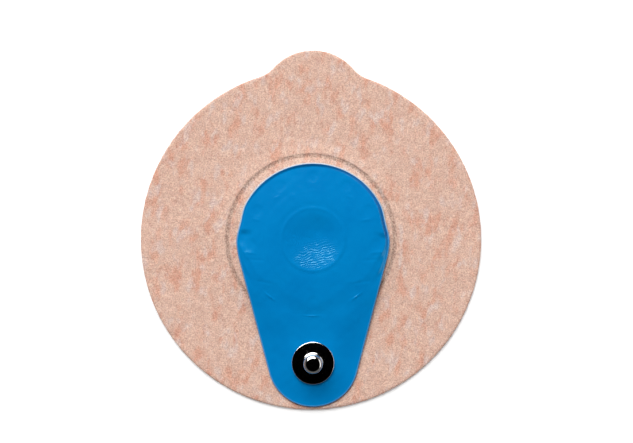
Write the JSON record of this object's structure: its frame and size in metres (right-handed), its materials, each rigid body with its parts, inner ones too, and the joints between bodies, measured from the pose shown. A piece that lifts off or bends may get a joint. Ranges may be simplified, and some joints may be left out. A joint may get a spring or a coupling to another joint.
{
  "type": "ecg electrode",
  "caption": "Disposable ecg electrode: a round skin-coloured nonwoven backing with a finger tab, and a blue pressed film whose tail carries an offset metal press stud.",
  "frame": {"origin": "the middle of the round backing, in the plane of its skin side, which is also the middle of the gel sponge's skin face", "axes": "+Z away from the skin, the way the press stud points; +Y towards the finger tab; the film's tail and the stud lie towards -Y"},
  "size_m": [0.0682, 0.0719, 0.0055],
  "materials": {
    "skin_nonwoven": "soft mottled nonwoven, matt",
    "white_foam": "closed-cell foam, matt",
    "gel_soaked_sponge": "open sponge, wet with gel",
    "silver_chloride": "grey coated plastic, satin",
    "carbon_film": "carbon-filled film, satin",
    "blue_film": "pressed film, glossy",
    "bright_nickel": "polished nickel plate",
    "plain_nickel": "plain nickel plate"
  },
  "bodies": {
    "root": {"backing": "skin_nonwoven", "seal_ring": "white_foam", "gel_sponge": "gel_soaked_sponge", "sensor_disc": "silver_chloride", "conductor_strip": "carbon_film", "foil_flap": "blue_film", "snap_stud": "bright_nickel", "stud_eyelet": "plain_nickel"}
  },
  "joints": []
}
